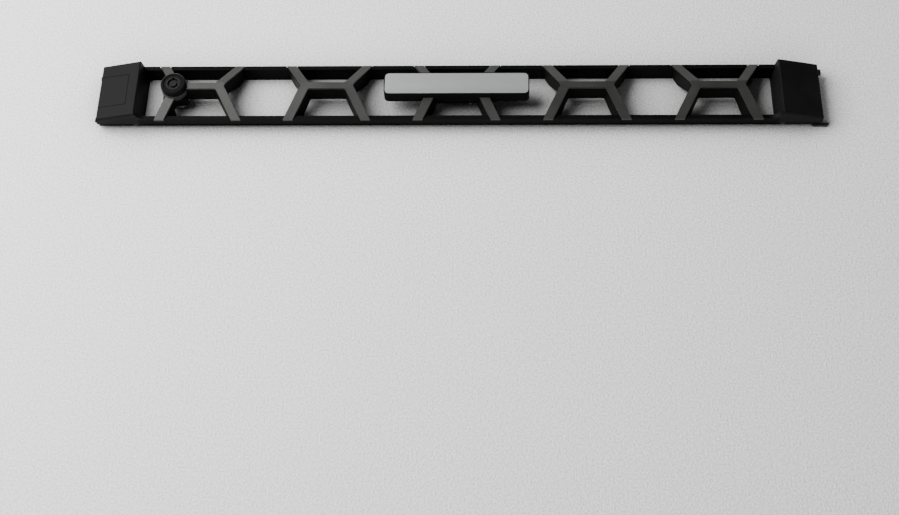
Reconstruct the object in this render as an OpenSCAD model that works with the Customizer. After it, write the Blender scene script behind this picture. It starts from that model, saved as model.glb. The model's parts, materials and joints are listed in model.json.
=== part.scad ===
// Security bezel for a one-unit rack server: two rails between end caps, five forked struts with
// a raised ridge, a blank badge, a key lock, and a spring latch behind a release button.
// X runs along the bezel, Y up its height when it is mounted, Z out of its front; it lies on its back.

/* [Overall] */
// Distance over the outer sides of the two end caps
bezel_w = 482; // [470:0.5:490]
// Height of the bezel
bezel_h = 42.8; // [42:0.1:44]
// Wall of the end caps
wall = 1.8; // [1.5:0.1:2]

/* [Rails] */
// Height of a rail's front face above the back plane
rail_d = 10.4; // [9.8:0.1:11]
// Width of a rail's front face
rail_front_t = 3; // [2.6:0.1:3.4]
// Distance from the outer side of the bezel to a rail's inner face at the back
rail_back_t = 4; // [3.8:0.1:4.2]
// How far the back part of the rails and caps is set in
rebate = 2; // [1.6:0.1:2.2]
// Depth of the full-height skirt in front of the rebate
skirt_d = 5.2; // [4.8:0.1:5.4]

/* [Struts] */
// Half the distance between a strut group's two forks
fork_x = 14.1; // [13:0.1:15.5]
// Sideways run of a leg from its fork to the edge of the bezel
leg_run = 11.7; // [9.5:0.1:12.5]
// Width of a leg
leg_w = 6.4; // [5.6:0.1:7]
// Width of the bar between the forks
bar_w = 5.5; // [5:0.1:6]
// Height of the ridge above the rails' front faces
ridge_rise = 8.6; // [8:0.1:9.2]
// Depth of the bar
bar_d = 12.4; // [12:0.1:12.8]
// Distance from mid-height at which the legs' backs meet the back plane
back_flat = 12; // [11:0.1:13]
// Gap between a cap and the end of the nearest leg
end_gap = 8.7; // [6:0.1:10]
// Thickness of the grey trims
trim_t = 1.6; // [1.4:0.1:1.8]
// How far a trim's edge stands back from its strut's edge
trim_inset = 0.35; // [0.3:0.05:0.5]
// Radius of the corners between struts
strut_r = 1.5; // [1:0.1:2]

/* [End caps] */
// Width of a cap at the back plane
cap_w = 30; // [29:0.1:31]
// How far a cap's inner wall leans outward from back to front
cap_lean = 3; // [2.6:0.1:3.2]
// Height of a cap's inner front edge
cap_in_z = 17.2; // [16:0.1:18]
// Height of a cap's outer front edge
cap_out_z = 10.6; // [9.8:0.1:11.2]
// Radius of the caps' front edges
cap_r = 0.8; // [0.6:0.1:1.2]
// Rounding of the caps' lower front edges
cap_low_r = 1.8; // [1:0.1:2.2]

/* [Badge] */
// Length of the badge carrier
badge_w = 96.3; // [94:0.1:98]
// Height of the badge carrier
badge_h = 17; // [16.4:0.1:17.4]
// Depth of the badge carrier
badge_d = 8.5; // [8:0.1:9]
// Cover that the carrier's face has over the ridge
badge_face = 1.8; // [1.6:0.1:2]
// Thickness of the blank plate
plate_t = 0.8; // [0.6:0.1:0.9]
// Border of the carrier around the blank plate
plate_border = 0.6; // [0.5:0.1:1.4]
// Half height of the block behind the badge
block_half = 6.4; // [6.2:0.1:6.6]

/* [Lock] */
// Radius of the lock's head
lock_r = 8.35; // [8:0.05:8.5]
// Height of the lock's head
lock_head = 4.2; // [3.6:0.1:4.8]
// Radius of the lock's barrel behind its head
barrel_r = 6; // [5.8:0.1:6.2]
// Radius of the turning plug
plug_r = 4; // [3.8:0.1:4.2]
// Radius of the plug's head, where the key goes in
plug_head_r = 5; // [4.8:0.1:5.2]
// Reach of the cam from the lock's axis
cam_reach = 10.5; // [9.5:0.1:11]
// How far the lock stands outward of its fork
lock_shift = 1.8; // [0.5:0.1:2.2]

/* [Latch] */
// Width of the release button, from the cap's outer side
button_w = 19.8; // [19:0.1:20.2]
// Height of the release button
button_h = 23.6; // [22.8:0.1:24]
// Travel of the release button and of the latch
travel = 2.5; // [2:0.1:2.6]
// How far the latch tips stand out of the left cap
tip_out = 2.8; // [2:0.1:3]
// Thickness of the latch slide
slide_t = 1.8; // [1.6:0.1:2]
// Outer radius of a latch spring's coil
spring_r = 1.4; // [1.3:0.05:1.45]

/* [Right hooks] */
// Thickness of the hook plate
hook_t = 1.5; // [1.3:0.1:1.6]
// How far the lower hook stands out of the right cap
tab_out = 5.2; // [4.5:0.1:5.5]
// How far the upper hook stands out of the right cap
peg_out = 2.7; // [2:0.1:3]

/* [Fits] */
// Gap around pieces that move or drop in
gap = 0.3; // [0.25:0.05:0.35]
// Radial clearance of a turning fit
run_fit = 0.05; // [0.03:0.01:0.08]

/* [Hidden] */
$fn = 64;

black = [0.09, 0.09, 0.09];
cap_black = [0.13, 0.13, 0.13];
grey = [0.42, 0.42, 0.40];
silver = [0.72, 0.73, 0.74];
steel = [0.60, 0.61, 0.62];

UNITS = 5;
BIG = 60;                                      // longer than any depth or height here
half_h = bezel_h / 2;
half_w = bezel_w / 2;
cap_x = half_w - cap_w;                        // inner wall of a cap at the back plane
slope_run = sqrt(1 + pow(leg_run / half_h, 2)); // level width of a leg over its own width
ridge_z = rail_d + ridge_rise;
bar_back = ridge_z - bar_d;
pitch = (cap_x - end_gap - fork_x - leg_run - leg_w / 2 * slope_run) / 2;
step_z = rail_d - skirt_d;                     // where the rebate ends
centre_shift = (tab_out - tip_out) / 2;        // puts the middle of the whole length at X = 0

pad_top = ridge_z - trim_t + 0.6;              // lock pad: the grey collar under the lock's head
pad_t = 4;
pad_r = lock_r + 0.45;
lock_x = -2 * pitch - fork_x - lock_shift;
lock_front = pad_top + lock_head;
boss_half = 7.5;
boss_back = 6;
nut_t = 2.2;
nut_flats = 15;
cam_t = 1.8;
cam_top = boss_back - nut_t - 0.6;
cam_w = 5;
cam_hub_r = 4.6;
tail_half = 2.5;                               // square tail of the plug
screw_head_t = 1.1;

slide_z = 4.6;                                 // underside of the latch slide
arm_in = 13.8;                                 // the slide's arms lie between these two heights
arm_out = 18;
arm_strip = 1.2;
post_t = 1.5;
post_x = half_w - 15.5;                        // inner side of the spring posts
spring_room = 7.5;
cover_t = 1.2;
lug_len = 7.5;
lug_t = 2;
lug_z = 1.5;
lug_h = 2.4;
lug_play = 0.1;
cavity_y = half_h - rebate - 1.2;              // half height of the caps' hollow behind the step
tip_w = 2.8;
tip_z = cover_t + gap;                         // underside of the latch tips

// ---- helpers -------------------------------------------------------------------------------

module place() translate([-centre_shift, 0, 0]) children();

// Extrudes a profile drawn in Y and Z from x0 to x1.
module along_x(x0, x1) translate([x0, 0, 0]) rotate([90, 0, 90]) linear_extrude(x1 - x0) children();

// Extrudes a profile drawn in X and Z from y0 to y1.
module along_y(y0, y1) translate([0, y1, 0]) rotate([90, 0, 0]) linear_extrude(y1 - y0) children();

module box(low, high) translate(low) cube(high - low);

module both_y() { children(); mirror([0, 1, 0]) children(); }

function unit(v) = v / norm(v);

// Outline with each corner replaced by an arc of its radius; radius 0 keeps the corner.
function rounded(pts, radii, n = 5) = [
    for (i = [0 : len(pts) - 1])
        let (p = pts[i], k = len(pts), r = radii[i],
             a = unit(pts[(i + k - 1) % k] - p), b = unit(pts[(i + 1) % k] - p),
             half = acos(a * b) / 2, c = p + unit(a + b) * r / sin(half),
             s = p + a * r / tan(half) - c, e = p + b * r / tan(half) - c,
             a0 = atan2(s[1], s[0]), turn = atan2(e[1], e[0]) - a0,
             sweep = turn > 180 ? turn - 360 : turn < -180 ? turn + 360 : turn)
        each (r == 0 ? [p] : [for (j = [0 : n]) c + r * [cos(a0 + sweep * j / n), sin(a0 + sweep * j / n)]])];

// Where the line through p along u crosses the line through q along v.
function crossing(p, u, q, v) = p + u * ((q - p)[0] * v[1] - (q - p)[1] * v[0]) / (u[0] * v[1] - u[1] * v[0]);

// ---- struts --------------------------------------------------------------------------------

// Level distance of a leg's edge from the middle of its group at height y.
function leg_edge(y, w) = fork_x + leg_run * abs(y) / half_h + w / 2 * slope_run;

// Plan of one strut group: a bar between two forks, cut out of a plate by rounded cells.
module group_2d(lw, bw) {
    far = half_h + 3;
    reach = leg_edge(half_h, lw);
    difference() {
        square([2 * reach, bezel_h], center = true);
        both_y() polygon(rounded([[-leg_edge(bw / 2, -lw), bw / 2], [leg_edge(bw / 2, -lw), bw / 2],
            [leg_edge(far, -lw), far], [-leg_edge(far, -lw), far]], [strut_r, strut_r, 0, 0]));
        for (side = [-1, 1]) scale([side, 1]) polygon(rounded([[leg_edge(0, lw), 0],
            [leg_edge(far, lw), far], [reach + 9, far], [reach + 9, -far],
            [leg_edge(far, lw), -far]], [strut_r, 0, 0, 0, 0]));
    }
}

// Side view of the struts' front: a level ridge that falls to the rails' front edges.
function front_line(drop) = [[-half_h, rail_d - drop], [-bar_w / 2, ridge_z - drop],
    [bar_w / 2, ridge_z - drop], [half_h, rail_d - drop]];

// Strut body seen from the end, with its front lowered by drop.
module strut_side(drop) polygon(concat(front_line(drop), [[half_h - rail_front_t / 2, rail_d - drop - 1],
    [half_h - (rebate + rail_back_t) / 2, 0], [back_flat, 0], [bar_w / 2, bar_back],
    [-bar_w / 2, bar_back], [-back_flat, 0], [-half_h + (rebate + rail_back_t) / 2, 0],
    [-half_h + rail_front_t / 2, rail_d - drop - 1]]));

// Everything in front of the struts' front line lowered by drop.
module in_front(drop) along_x(-half_w, half_w)
    polygon(concat(front_line(drop), [[half_h, BIG], [-half_h, BIG]]));

module groups(lw, bw) for (i = [-2 : 2]) translate([i * pitch, 0, -1]) linear_extrude(BIG) group_2d(lw, bw);

module struts() intersection() {
    groups(leg_w, bar_w);
    along_x(-half_w, half_w) strut_side(trim_t);
}

// Seats for the trims: the front of each strut, and shallow pockets across the rails.
module trim_seats() intersection() {
    groups(leg_w + 0.2, bar_w + 0.2);
    in_front(trim_t);
}

module trim_skin(i) intersection() {
    translate([i * pitch, 0, 0]) linear_extrude(BIG)
        group_2d(leg_w - 2 * trim_inset, bar_w - 2 * trim_inset);
    along_x(-half_w, half_w)
        polygon(concat(front_line(0), [for (j = [3 : -1 : 0]) front_line(trim_t)[j]]));
}

// ---- frame ---------------------------------------------------------------------------------

module rail_side() polygon([[half_h, rail_d], [half_h - rail_front_t, rail_d],
    [half_h - rail_back_t, 0], [half_h - rebate, 0], [half_h - rebate, step_z], [half_h, step_z]]);

// Room that a cap takes at its end, out to the sloping plane of its inner wall.
module cap_room() along_y(-half_h - 1, half_h + 1) polygon([[cap_x - cap_lean / cap_in_z, -1],
    [cap_x + cap_lean * BIG / cap_in_z, BIG], [half_w, BIG], [half_w, -1]]);

// Lugs that carry the rails into the caps.
module lug() box([cap_x - 1, cavity_y - lug_t, lug_z], [cap_x + lug_len, cavity_y, lug_z + lug_h]);

module lug_screw_place() for (side = [-1, 1]) both_y()
    translate([side * (cap_x + lug_len - 2.6), cavity_y, lug_z + lug_h / 2]) rotate([-90, 0, 0]) children();

module at_lock() translate([lock_x, 0, 0]) children();

badge_screw_at = [[-9, 4.7], [9, -4.7]];

module frame_solid() {
    difference() {
        both_y() along_x(-cap_x - cap_lean, cap_x + cap_lean) rail_side();
        for (side = [-1, 1]) scale([side, 1, 1]) cap_room();
    }
    for (side = [-1, 1]) scale([side, 1, 1]) both_y() lug();
    difference() {
        struts();
        at_lock() cylinder(r = cam_reach + 1, h = boss_back + 1);
    }
    at_lock() box([-boss_half, -boss_half, boss_back], [boss_half, boss_half, pad_top - pad_t]);
    box([-fork_x - 3, -block_half, bar_back], [fork_x + 3, block_half, bar_back + 4.4]);
}

module frame() place() color(black) difference() {
    frame_solid();
    trim_seats();
    at_lock() {
        translate([0, 0, -1]) cylinder(r = barrel_r + 0.1, h = BIG);
        translate([0, 0, pad_top - pad_t]) cylinder(r = pad_r + 0.1, h = BIG);
    }
    for (p = badge_screw_at) translate([p[0], p[1], 0]) cylinder(r = 1, h = bar_back + 6);
    lug_screw_place() translate([0, 0, -lug_t - 1]) cylinder(r = 0.75, h = lug_t + 2);
}

// ---- trims ---------------------------------------------------------------------------------

module strut_trim(i) place() color(grey) difference() {
    union() {
        trim_skin(i);
        if (i == -2) at_lock() translate([0, 0, pad_top - pad_t]) cylinder(r = pad_r, h = pad_t);
    }
    if (i == -2) at_lock() {
        cylinder(r = barrel_r + 0.1, h = BIG);
        translate([0, 0, pad_top]) cylinder(r = lock_r + gap, h = BIG);
    }
}

module strut_trim_1() strut_trim(-2);
module strut_trim_2() strut_trim(-1);
module strut_trim_3() strut_trim(0);
module strut_trim_4() strut_trim(1);
module strut_trim_5() strut_trim(2);

// ---- badge ---------------------------------------------------------------------------------

badge_z = ridge_z + badge_face;                // front of the carrier
badge_r = 3;
rim_t = 1.5;

module badge_2d(inset, r) {
    x = badge_w / 2 - inset;
    y = badge_h / 2 - inset;
    polygon(rounded([[-x, -y], [x, -y], [x, y], [-x, y]], [r, r, r, r]));
}

// A shallow tray, open at the back, notched where the legs pass under its rim.
module badge_carrier() place() color(black) difference() {
    union() {
        difference() {
            translate([0, 0, badge_z - badge_d]) linear_extrude(badge_d) badge_2d(0, badge_r);
            translate([0, 0, -1]) linear_extrude(ridge_z + 0.2 + 1) badge_2d(rim_t, badge_r - rim_t);
        }
        for (p = badge_screw_at) translate([p[0], p[1], bar_back + 4.4]) cylinder(r = 1.6, h = bar_d - 4);
    }
    translate([0, 0, badge_z - plate_t]) linear_extrude(BIG)
        badge_2d(plate_border, badge_r - plate_border / 2);
    intersection() {
        translate([0, 0, -1]) linear_extrude(BIG) group_2d(leg_w + 2 * gap, bar_w + 2 * gap);
        along_x(-half_w, half_w) polygon(concat(front_line(-0.2), [[half_h, -1], [-half_h, -1]]));
        box([-badge_w, -badge_h, -1], [badge_w, badge_h, ridge_z + 0.15]);
    }
    for (p = badge_screw_at) translate([p[0], p[1], 0]) cylinder(r = 0.75, h = bar_back + 10);
}

module badge_plate() place() color(silver) translate([0, 0, badge_z - plate_t]) linear_extrude(plate_t + 0.2)
    badge_2d(plate_border + 0.1, badge_r - plate_border / 2);

module badge_screws() place() color(steel) for (p = badge_screw_at) translate([p[0], p[1], bar_back - 1])
    rotate_extrude() polygon([[0, 0], [1.5, 0], [1.5, 1], [0.7, 1], [0.7, 9], [0, 9.6]]);

// ---- end caps ------------------------------------------------------------------------------

cap_top = [cap_x + cap_lean, cap_in_z];
cap_edge = [half_w, cap_out_z];
cap_slope = atan2(cap_in_z - cap_out_z, half_w - cap_top[0]);

// Plan of a cap seen from above its end, set in by t on its inner, front and outer sides.
function cap_side(t) =
    let (u_in = unit([cap_lean, cap_in_z]), u_front = unit(cap_edge - cap_top),
         p_in = [cap_x, 0] + t * [u_in[1], -u_in[0]], p_front = cap_top + t * [u_front[1], -u_front[0]],
         low = t == 0 ? 0 : -1)
    [crossing(p_in, u_in, [0, low], [1, 0]), crossing(p_in, u_in, p_front, u_front),
     crossing(p_front, u_front, [half_w - t, 0], [0, 1]), [half_w - t, low]];

// Right cap's solid form set in by t; its long edges follow the slope of the front.
module cap_form(t, half_y, r, low_r) intersection() {
    along_y(-half_y, half_y) polygon(rounded(cap_side(t), [0, r, r, 0]));
    translate([cap_side(t)[1][0], 0, cap_side(t)[1][1]]) rotate([0, cap_slope, 0])
        along_x(-BIG / 2, BIG) polygon(rounded([[-half_y, -BIG], [half_y, -BIG], [half_y, 0],
            [-half_y, 0]], [0, 0, r, low_r]));
}

// The strip of a cap between depths t0 and t1 below its surface.
module cap_layer(t0, t1) difference() {
    cap_form(t0, half_h - t0, cap_r, cap_low_r);
    cap_form(t1, half_h - t1, cap_r / 2, cap_low_r / 2);
}

module cap_shell() {
    difference() {
        cap_form(0, half_h, cap_r, cap_low_r);
        difference() {
            cap_form(wall, half_h - wall, cap_r / 2, cap_low_r / 2);
            both_y() box([0, cavity_y, -2], [half_w, half_h, step_z + 1]);
        }
        both_y() box([0, half_h - rebate, -1], [half_w + 1, half_h + 1, step_z]);
        both_y() box([cap_x - 2, cavity_y - lug_t - lug_play, lug_z - lug_play],
            [cap_x + wall + 2, cavity_y + lug_play, lug_z + lug_h + lug_play]);
    }
    sweep();
}

// The bottom rail's front rises to the cap's front in a hollow curve, with a small step at each end.
module sweep() {
    r = cap_in_z - rail_d;
    step = 0.2;
    ledge = 0.5;
    x = cap_top[0] - r - ledge;
    z = cap_in_z - cap_low_r - step;
    along_y(-half_h, -half_h + rail_front_t) difference() {
        polygon([[x + step, rail_d], [cap_x + cap_lean, rail_d], [cap_top[0] + wall / 2, z], [x + step, z]]);
        translate([x, cap_in_z + step]) circle(r);
    }
}

module cap_screw_holes() lug_screw_place() translate([0, 0, -0.5]) cylinder(r = 0.85, h = wall + 1);

// Window for the release button, its edges moved out by grow.
module button_window(grow, low) box([half_w - button_w - grow, -button_h / 2 - grow, low],
    [half_w + 1, button_h / 2 + grow, BIG]);

module tip_slot(grow) box([half_w - wall - 1, arm_out - tip_w - grow, tip_z - grow],
    [half_w + 1, arm_out + min(grow, cavity_y - arm_out), tip_z + slide_t + grow]);

module left_cap() place() color(cap_black) difference() {
    mirror([1, 0, 0]) {
        difference() {
            cap_shell();
            button_window(gap, -1);
            both_y() tip_slot(gap);
            cover_slots(0.1);
        }
        // ribs that keep the latch slide down
        intersection() {
            both_y() box([post_x - 2, arm_in + 0.1, slide_z + slide_t + gap],
                [half_w - 5, arm_in + arm_strip, BIG]);
            cap_form(wall / 2, half_h - wall / 2, cap_r / 2, cap_low_r / 2);
        }
    }
    cap_screw_holes();
}

boss_at = [[cap_x + 7, 11], [cap_x + 7, -11]];

module right_cap() place() color(cap_black) difference() {
    union() {
        cap_shell();
        intersection() {
            for (p = boss_at) translate([p[0], p[1], hook_t]) cylinder(r = 2.6, h = BIG);
            cap_form(wall / 2, half_h - wall / 2, cap_r / 2, cap_low_r / 2);
        }
    }
    for (p = boss_at) translate([p[0], p[1], 0]) cylinder(r = 0.95, h = 8);
    box([half_w - wall - 0.8, arm_out - tip_w - gap, peg_z - gap],
        [half_w + 1, peg_y + gap, peg_z + peg_t + gap]);
    translate([0, 0, -1]) linear_extrude(hook_t + 1 + 0.1) tab_2d(0.2);
    cap_screw_holes();
}

// ---- right hook plate ----------------------------------------------------------------------

peg_t = 1.6;
peg_z = step_z + gap;                          // the upper hook passes just in front of the rebate
peg_y = arm_out + 1.5;
tab_x = half_w - 7;
tab_w = 2.2;

// Plan of the lower hook, its edges moved out by grow.
module tab_2d(grow) {
    low = -half_h - (grow > 0 ? 1 : 0);
    polygon([[tab_x - grow, -cavity_y + 3], [tab_x - grow, -half_h + tab_w - grow],
        [tab_x + tab_w - grow, low],
        [half_w + tab_out - 1.5 + grow, low], [half_w + tab_out + grow, -half_h + 1.2],
        [half_w + tab_out + grow, -half_h + tab_w + grow], [half_w - wall - 1, -half_h + tab_w + grow],
        [half_w - wall - 1, -cavity_y + 3]]);
}

module right_hook_plate() place() color(steel) difference() {
    union() {
        linear_extrude(hook_t) {
            translate([cap_x + wall + 1, -cavity_y + 0.2])
                square([cap_w - 2 * wall - 1.2, 2 * cavity_y - 0.4]);
            tab_2d(0);
        }
        box([half_w - wall - 3, arm_out - tip_w, 0], [half_w - wall - 1.2, arm_out, peg_z + peg_t]);
        box([half_w - wall - 1.3, arm_out - tip_w, peg_z], [half_w - wall - 0.4, arm_out, peg_z + peg_t]);
        along_y(arm_out - tip_w, peg_y) polygon([[half_w - wall - 0.5, peg_z],
            [half_w + peg_out - 0.8, peg_z], [half_w + peg_out, peg_z + 0.8],
            [half_w + peg_out, peg_z + peg_t], [half_w - wall - 0.5, peg_z + peg_t]]);
    }
    for (p = boss_at) translate([p[0], p[1], -0.01]) cylinder(r1 = 2.5, r2 = 1.15, h = hook_t + 0.02);
}

module hook_plate_screws() place() color(steel) for (p = boss_at) translate([p[0], p[1], 0.1])
    rotate_extrude() polygon([[0, 0], [2.3, 0], [0.9, hook_t - 0.1], [0.9, 6.5], [0, 7.2]]);

module cap_screws() place() color(steel) lug_screw_place()
    rotate_extrude() polygon([[0, half_h - rebate - cavity_y + 0.6], [1.3, half_h - rebate - cavity_y + 0.6],
        [1.3, half_h - rebate - cavity_y], [0.7, half_h - rebate - cavity_y],
        [0.7, 0.4 - lug_t], [0, 0.1 - lug_t]]);

// ---- left back cover -----------------------------------------------------------------------

// Four tongues that snap the cover into the cap's long walls.
module cover_slots(grow) both_y() for (x = [half_w - 22, half_w - 8])
    box([x - 1.5 - grow, cavity_y - 1, 0.3 - grow],
        [x + 1.5 + grow, cavity_y + 0.6 + grow, cover_t - 0.1 + grow]);

module left_back_cover() place() color(black) mirror([1, 0, 0]) {
    box([cap_x + wall + 1, -cavity_y + 0.2, 0], [half_w - wall - 0.2, cavity_y - 0.2, cover_t]);
    cover_slots(0);
    both_y() {
        box([post_x, arm_in + arm_strip + 0.3, cover_t - 0.1],
            [post_x + post_t, arm_out - 0.3, slide_z + slide_t + 0.8]);
        box([post_x - 2, arm_in + 0.1, cover_t - 0.1], [half_w - 5, arm_in + arm_strip, slide_z - gap]);
    }
}

// ---- release button ------------------------------------------------------------------------

wedge_x = half_w - button_w - 0.7;             // inner edge of the wedges at the slide's top
wedge_root = 3.44;                             // drop from the button's inner edge to the wedges
wedge_top = cap_out_z + button_w * tan(cap_slope) - wedge_root;
lining_inset = 0.6;                            // the button's lining stays this far inside its window
catch_out = 1.4;                               // how far the lining's catches reach past the window
button_low = travel + 0.7;
lining_low = cover_t + travel + gap;            // keeps the button's lining off the cover

module wedge(y) along_y(y - 1.5, y + 1.5) polygon([
    [half_w - button_w + 3, wedge_top], [half_w - button_w + 3, slide_z - 0.2],
    [wedge_x + slide_t + 0.2, slide_z - 0.2], [wedge_x - travel - 0.3, slide_z + slide_t + travel + 0.3],
    [wedge_x - travel - 0.3, wedge_top]]);

module release_button() place() color(cap_black) mirror([1, 0, 0]) {
    intersection() {
        cap_layer(0, wall);
        button_window(0, button_low);
    }
    intersection() {
        cap_layer(wall / 2, wall + gap + 1);
        box([half_w - button_w + lining_inset, -button_h / 2 + lining_inset, lining_low],
            [half_w - wall / 2, button_h / 2 - lining_inset, BIG]);
    }
    intersection() {
        cap_layer(wall + gap, wall + gap + 1);
        box([half_w - button_w + 1, -button_h / 2 - catch_out, lining_low],
            [half_w - wall - 1.5, button_h / 2 + catch_out, BIG]);
    }
    wedge(5);
    wedge(-5);
}

// ---- latch slide and springs ---------------------------------------------------------------

slide_bar = 1.8;
bar_left = wedge_x - gap * sqrt(2);            // side of the slide's bar that the wedges push

module latch_slide() place() color(black) mirror([1, 0, 0]) {
    box([bar_left - slide_bar, -arm_out, slide_z], [bar_left, arm_out, slide_z + slide_t]);
    both_y() {
        box([bar_left - slide_bar, arm_in, slide_z],
            [half_w - wall - 0.6, arm_in + arm_strip, slide_z + slide_t]);
        box([bar_left - slide_bar, arm_in, slide_z], [post_x - gap, arm_out, slide_z + slide_t]);
        box([post_x + post_t + spring_room, arm_in, slide_z],
            [half_w - wall - 0.6, arm_out, slide_z + slide_t]);
        along_y(arm_out - tip_w, arm_out) polygon([[post_x + post_t + spring_room, tip_z],
            [half_w + tip_out - 0.8, tip_z], [half_w + tip_out, tip_z + 0.8],
            [half_w + tip_out, tip_z + slide_t], [half_w - wall - 0.6, tip_z + slide_t],
            [half_w - wall - 0.6, slide_z + slide_t], [post_x + post_t + spring_room, slide_z + slide_t]]);
    }
}

wire_r = 0.22;

// Coil spring along X: a ring of section points carried round a helix.
module coil_spring(length, turns) {
    steps = 14;
    sides = 8;
    rings = turns * steps;
    mean_r = spring_r - wire_r;
    rise = (length - 2 * wire_r) / rings;
    points = [for (i = [0 : rings]) let (a = 360 * i / steps) for (j = [0 : sides - 1])
        let (b = 360 * j / sides, r = mean_r + wire_r * cos(b))
        [wire_r + rise * i + wire_r * sin(b), r * cos(a), r * sin(a)]];
    skin = [for (i = [0 : rings - 1], j = [0 : sides - 1]) let (k = (j + 1) % sides)
        [i * sides + j, i * sides + k, (i + 1) * sides + k, (i + 1) * sides + j]];
    ends = [[for (j = [sides - 1 : -1 : 0]) j], [for (j = [0 : sides - 1]) rings * sides + j]];
    polyhedron(points, concat(skin, ends));
}

module latch_spring(side) place() color(steel) mirror([1, 0, 0])
    translate([post_x + post_t + 0.1, side * ((arm_in + arm_strip + cavity_y) / 2), slide_z + slide_t / 2])
        coil_spring(spring_room - 0.2, 6);

module latch_spring_upper() latch_spring(1);
module latch_spring_lower() latch_spring(-1);

// ---- lock ----------------------------------------------------------------------------------

barrel_back = cam_top + 0.4;
head_z = lock_front - 2.6;                     // shoulder that the plug's head sits on

module lock_barrel() place() color(black) at_lock() difference() {
    rotate_extrude() polygon([[plug_r + run_fit, barrel_back], [barrel_r, barrel_back], [barrel_r, pad_top],
        [lock_r, pad_top], [lock_r, lock_front - 0.8], [lock_r - 0.8, lock_front],
        [lock_r - 1.6, lock_front], [lock_r - 2.1, lock_front - 0.6],
        [plug_head_r + run_fit, lock_front - 0.6], [plug_head_r + run_fit, head_z],
        [plug_r + run_fit, head_z]]);
}

module lock_plug() place() color(steel) at_lock() difference() {
    union() {
        translate([0, 0, cam_top + 0.1]) cylinder(r = plug_r, h = head_z - cam_top);
        translate([0, 0, head_z + 0.05]) cylinder(r = plug_head_r, h = lock_front - 0.4 - head_z - 0.05);
        box([-tail_half, -tail_half, cam_top - cam_t], [tail_half, tail_half, cam_top + 0.2]);
    }
    // round keyway with its guide notch
    translate([0, 0, head_z + 0.6]) difference() {
        cylinder(r = 3.7, h = BIG);
        cylinder(r = 2.3, h = BIG, center = true);
    }
    translate([-0.8, 3, head_z + 0.6]) cube([1.6, 1.5, BIG]);
    translate([0, 0, -1]) cylinder(r = 1.3, h = cam_top + 4);
}

module lock_cam() place() color(steel) at_lock() translate([0, 0, cam_top - cam_t]) difference() {
    union() {
        cylinder(r = cam_hub_r, h = cam_t);
        translate([-cam_w / 2, 0, 0]) cube([cam_w, cam_reach - cam_w / 2, cam_t]);
        translate([0, cam_reach - cam_w / 2, 0]) cylinder(r = cam_w / 2, h = cam_t);
    }
    box([-tail_half - 0.05, -tail_half - 0.05, -1], [tail_half + 0.05, tail_half + 0.05, cam_t + 1]);
}

module lock_nut() place() color(steel) at_lock() translate([0, 0, boss_back - nut_t]) difference() {
    cylinder(r = nut_flats / 2 / cos(30), h = nut_t, $fn = 6);
    translate([0, 0, -1]) cylinder(r = barrel_r + 0.1, h = nut_t + 2);
}

module cam_screw() place() color(steel) at_lock() rotate_extrude() polygon([
    [0, cam_top - cam_t - screw_head_t], [2.4, cam_top - cam_t - screw_head_t],
    [3.2, cam_top - cam_t - screw_head_t + 0.4], [3.2, cam_top - cam_t],
    [1.2, cam_top - cam_t], [1.2, cam_top + 2.4], [0, cam_top + 3]]);

// ---- output --------------------------------------------------------------------------------

frame();
strut_trim_1();
strut_trim_2();
strut_trim_3();
strut_trim_4();
strut_trim_5();
badge_carrier();
badge_plate();
badge_screws();
left_cap();
right_cap();
left_back_cover();
right_hook_plate();
hook_plate_screws();
cap_screws();
release_button();
latch_slide();
latch_spring_upper();
latch_spring_lower();
lock_barrel();
lock_plug();
lock_cam();
lock_nut();
cam_screw();
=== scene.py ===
import json
import math

import bpy
from mathutils import Matrix, Vector


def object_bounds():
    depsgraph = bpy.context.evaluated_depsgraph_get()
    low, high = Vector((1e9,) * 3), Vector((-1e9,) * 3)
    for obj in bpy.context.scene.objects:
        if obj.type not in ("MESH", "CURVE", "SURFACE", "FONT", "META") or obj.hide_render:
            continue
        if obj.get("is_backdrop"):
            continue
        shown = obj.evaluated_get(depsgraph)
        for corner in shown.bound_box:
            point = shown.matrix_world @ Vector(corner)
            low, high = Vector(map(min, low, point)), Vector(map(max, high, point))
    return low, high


# Lengths are in metres, except where a name ends in _mm.
FLOOR_SIZE = 12
FLOOR_DROP = 0.0001
PAINTED_SHADE_REACH = 0.04            # how near the part the painted shade starts to darken the floor's colour

WALL_TOP = 0.35                 # sine of the height up to which the studio's walls glow
WALL_BLEND = 0.25               # and how much further they take to fade
WALL_LIGHT, ROOF_LIGHT = 2.0, 0.05
SKY_SIDE, SKY_EVEN = (-0.2, -0.5, 0), 0.77

KEY_PLACE = (-0.65, 0.12, 0.75)
KEY_SIZE = 0.9
KEY_POWER = 26.5

CAMERA_OFFSET = (0.02374, -0.49964, 0.74414)
CAMERA_LENS_MM, SENSOR_MM = 53.34, 36
CAMERA_PITCH, CAMERA_YAW, CAMERA_ROLL = math.radians(63.167), -0.074, -0.065
CAMERA_REACH = 30

# Socket places of the Mix node when it mixes colours.
MIX_SHARE, MIX_A, MIX_B, MIX_OUT = 0, 6, 7, 2
# Noise rarely leaves this band, so it is spread from here over the whole range.
NOISE_LOW, NOISE_HIGH = 0.3, 0.7

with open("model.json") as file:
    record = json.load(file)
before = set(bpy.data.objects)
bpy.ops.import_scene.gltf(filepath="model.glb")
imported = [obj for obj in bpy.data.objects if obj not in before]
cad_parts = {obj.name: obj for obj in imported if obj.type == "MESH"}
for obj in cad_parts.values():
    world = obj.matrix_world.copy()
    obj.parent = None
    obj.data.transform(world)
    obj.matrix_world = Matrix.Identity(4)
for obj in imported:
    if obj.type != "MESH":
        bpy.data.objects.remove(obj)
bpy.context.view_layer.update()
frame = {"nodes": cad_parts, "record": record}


# ---- materials ---------------------------------------------------------------------------

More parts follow.
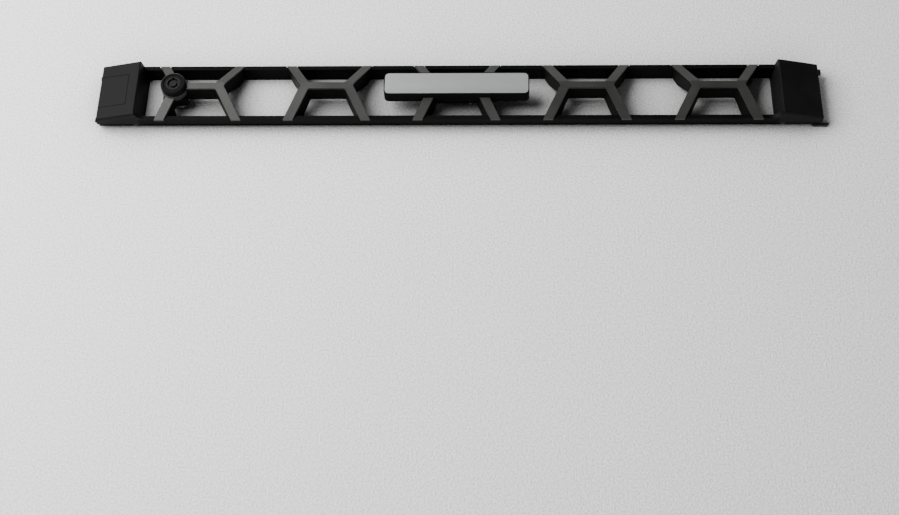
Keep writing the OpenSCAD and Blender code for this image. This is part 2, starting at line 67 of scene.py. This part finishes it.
def node(tree, kind, x, y, **sockets):
    """A new node at x, y, with its sockets set by name, underscores standing for spaces."""
    n = tree.nodes.new(kind)
    n.location = (x, y)
    for name, value in sockets.items():
        n.inputs[name.replace("_", " ")].default_value = value
    return n


def colour_ramp(tree, share, dark, light, x, y):
    """A colour between dark and light, as share goes from 0 to 1."""
    n = node(tree, "ShaderNodeMix", x, y)
    n.data_type = "RGBA"
    n.inputs[MIX_A].default_value = (*dark, 1)
    n.inputs[MIX_B].default_value = (*light, 1)
    tree.links.new(share, n.inputs[MIX_SHARE])
    return n.outputs[MIX_OUT]


def number_ramp(tree, value, x, y, **spans):
    """A number moved from the From span to the To span."""
    n = node(tree, "ShaderNodeMapRange", x, y, **spans)
    tree.links.new(value, n.inputs["Value"])
    return n.outputs["Result"]


def maths(tree, operation, first, second, x, y):
    """Two linked values put together by one maths operation."""
    n = node(tree, "ShaderNodeMath", x, y)
    n.operation = operation
    tree.links.new(first, n.inputs[0])
    tree.links.new(second, n.inputs[1])
    return n.outputs["Value"]


def surface(name, dark, light, rough, grain_mm, bump, metal=0.0, specular=0.4, cloud_mm=18.0,
            cloud_share=0.65, stretch=(1, 1, 1), relief=0.25):
    """A procedural finish: slow colour clouds, fine grain, and a bump relief times the grain deep."""
    material = bpy.data.materials.new(name)
    material.use_nodes = True
    tree = material.node_tree
    shader = tree.nodes["Principled BSDF"]
    shader.inputs["Metallic"].default_value = metal
    shader.inputs["Specular IOR Level"].default_value = specular
    place = node(tree, "ShaderNodeTexCoord", -1200, 0)
    turn = node(tree, "ShaderNodeMapping", -1000, 0, Scale=stretch)
    tree.links.new(place.outputs["Object"], turn.inputs["Vector"])
    cloud = node(tree, "ShaderNodeTexNoise", -760, 240, Scale=1000 / cloud_mm, Detail=4.0)
    grain = node(tree, "ShaderNodeTexNoise", -760, -120, Scale=1000 / grain_mm, Detail=3.0)
    shares = []
    for texture, share, y in ((cloud, cloud_share, 300), (grain, 1 - cloud_share, -60)):
        tree.links.new(turn.outputs["Vector"], texture.inputs["Vector"])
        shares.append(number_ramp(tree, texture.outputs["Fac"], -560, y,
                                  From_Min=NOISE_LOW, From_Max=NOISE_HIGH, To_Max=share))
    both = maths(tree, "ADD", shares[0], shares[1], -450, 120)
    tree.links.new(colour_ramp(tree, both, dark, light, -340, 240), shader.inputs["Base Color"])
    tree.links.new(number_ramp(tree, both, -340, 20, To_Min=rough[0], To_Max=rough[1]),
                   shader.inputs["Roughness"])
    raised = node(tree, "ShaderNodeBump", -340, -200, Strength=bump, Distance=relief * grain_mm / 1000)
    tree.links.new(grain.outputs["Fac"], raised.inputs["Height"])
    tree.links.new(raised.outputs["Normal"], shader.inputs["Normal"])
    return material


# Each finish: dark colour, light colour, roughness span, then the options of surface().
FINISHES = {
    "black_plastic": ((0.0018, 0.0018, 0.0018), (0.0042, 0.0042, 0.0041), (0.42, 0.54),
                      dict(grain_mm=0.35, bump=0.12, specular=0.03)),
    "cap_plastic": ((0.0035, 0.0035, 0.0036), (0.0070, 0.0070, 0.0072), (0.42, 0.54),
                    dict(grain_mm=0.35, bump=0.12, specular=0.05)),
    "grey_paint": ((0.037, 0.037, 0.0357), (0.054, 0.054, 0.0515), (0.33, 0.43),
                   dict(grain_mm=0.25, bump=0.05, metal=0.5, specular=0.15)),
    "silver_metal": ((0.30, 0.303, 0.307), (0.38, 0.384, 0.388), (0.34, 0.44),
                     dict(grain_mm=0.4, bump=0.06, metal=0.5, specular=0.5, stretch=(0.06, 1, 1))),
    "lock_black": ((0.0025, 0.0025, 0.0025), (0.0055, 0.0055, 0.0055), (0.30, 0.42),
                   dict(grain_mm=0.2, bump=0.05, specular=0.035)),
    "lock_steel": ((0.006, 0.006, 0.006), (0.014, 0.014, 0.0135), (0.28, 0.42),
                   dict(grain_mm=0.2, bump=0.06, metal=0.2, specular=0.06, cloud_mm=4.0)),
    "zinc_steel": ((0.38, 0.38, 0.36), (0.55, 0.55, 0.52), (0.30, 0.45),
                   dict(grain_mm=0.3, bump=0.08, metal=0.9, specular=0.5, cloud_mm=5.0)),
    "hook_steel": ((0.012, 0.012, 0.012), (0.022, 0.022, 0.022), (0.35, 0.5),
                   dict(grain_mm=0.3, bump=0.08, specular=0.4, cloud_mm=9.0)),
    "spring_steel": ((0.30, 0.30, 0.30), (0.42, 0.42, 0.42), (0.25, 0.35),
                     dict(grain_mm=0.15, bump=0.05, metal=0.9, specular=0.5, cloud_mm=3.0)),
}

materials = {name: surface(name, dark, light, rough, **options)
             for name, (dark, light, rough, options) in FINISHES.items()}
for part in frame["record"]["subparts"]:
    piece = frame["nodes"][part["node"]]
    piece.data.materials.clear()
    piece.data.materials.append(materials[part["material_slot"]])


# ---- floor -------------------------------------------------------------------------------

low, high = (Vector(c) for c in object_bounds())
middle = (low + high) / 2

bpy.ops.mesh.primitive_plane_add(size=FLOOR_SIZE, location=(middle.x, middle.y, low.z - FLOOR_DROP))
floor = bpy.context.object
floor.name = "floor"
foam = surface("floor_foam", (0.64, 0.64, 0.635), (1.0, 1.0, 0.995), (0.5, 0.7), grain_mm=1.3, bump=1.0,
               specular=0.4, cloud_mm=90.0, cloud_share=0.05, relief=0.45)
# An ambient-occlusion node darkens the foam's colour where the part is near: painted shade in the cells and
# around the part.
foam_tree = foam.node_tree
foam_colour = foam_tree.nodes["Principled BSDF"].inputs["Base Color"]
painted_shade = node(foam_tree, "ShaderNodeAmbientOcclusion", -160, 300, Distance=PAINTED_SHADE_REACH)
foam_tree.links.new(foam_colour.links[0].from_socket, painted_shade.inputs["Color"])
foam_tree.links.new(painted_shade.outputs["Color"], foam_colour)
floor.data.materials.append(foam)
floor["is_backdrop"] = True


# ---- light -------------------------------------------------------------------------------

world = bpy.data.worlds.new("studio")
bpy.context.scene.world = world
world.use_nodes = True
sky = world.node_tree
toward = node(sky, "ShaderNodeTexCoord", -1200, 0)
axes = node(sky, "ShaderNodeSeparateXYZ", -1000, 0)
sky.links.new(toward.outputs["Generated"], axes.inputs[0])
glow = number_ramp(sky, axes.outputs["Z"], -800, 0, From_Min=WALL_TOP, From_Max=WALL_TOP + WALL_BLEND,
                   To_Min=WALL_LIGHT, To_Max=ROOF_LIGHT)
side = node(sky, "ShaderNodeVectorMath", -800, -300)
side.operation = "DOT_PRODUCT"
side.inputs[1].default_value = SKY_SIDE
sky.links.new(toward.outputs["Generated"], side.inputs[0])
weight = node(sky, "ShaderNodeMath", -600, -300)
weight.inputs[1].default_value = SKY_EVEN
sky.links.new(side.outputs["Value"], weight.inputs[0])
background = sky.nodes["Background"]
background.inputs["Color"].default_value = (1, 1, 1, 1)
sky.links.new(maths(sky, "MULTIPLY", glow, weight.outputs["Value"], -400, 0), background.inputs["Strength"])

key_data = bpy.data.lights.new("key", "AREA")
key_data.shape = "SQUARE"
key_data.size = KEY_SIZE
key_data.energy = KEY_POWER
key = bpy.data.objects.new("key", key_data)
bpy.context.collection.objects.link(key)
key.location = KEY_PLACE
key.rotation_euler = (middle - Vector(KEY_PLACE)).to_track_quat("-Z", "Y").to_euler()


# ---- camera ------------------------------------------------------------------------------

camera_data = bpy.data.cameras.new("camera")
camera_data.sensor_width = SENSOR_MM
camera_data.lens = CAMERA_LENS_MM
camera_data.clip_end = CAMERA_REACH
camera = bpy.data.objects.new("camera", camera_data)
bpy.context.collection.objects.link(camera)
bpy.context.scene.camera = camera
level = math.cos(CAMERA_PITCH)
ahead = Vector((math.sin(CAMERA_YAW) * level, math.cos(CAMERA_YAW) * level, -math.sin(CAMERA_PITCH)))
right = Vector((math.cos(CAMERA_YAW), -math.sin(CAMERA_YAW), 0))
up = right.cross(ahead)
turned_right = math.cos(CAMERA_ROLL) * right + math.sin(CAMERA_ROLL) * up
turned_up = math.cos(CAMERA_ROLL) * up - math.sin(CAMERA_ROLL) * right
turned = Matrix((turned_right, turned_up, -ahead)).transposed().to_4x4()
camera.matrix_world = Matrix.Translation(middle + Vector(CAMERA_OFFSET)) @ turned
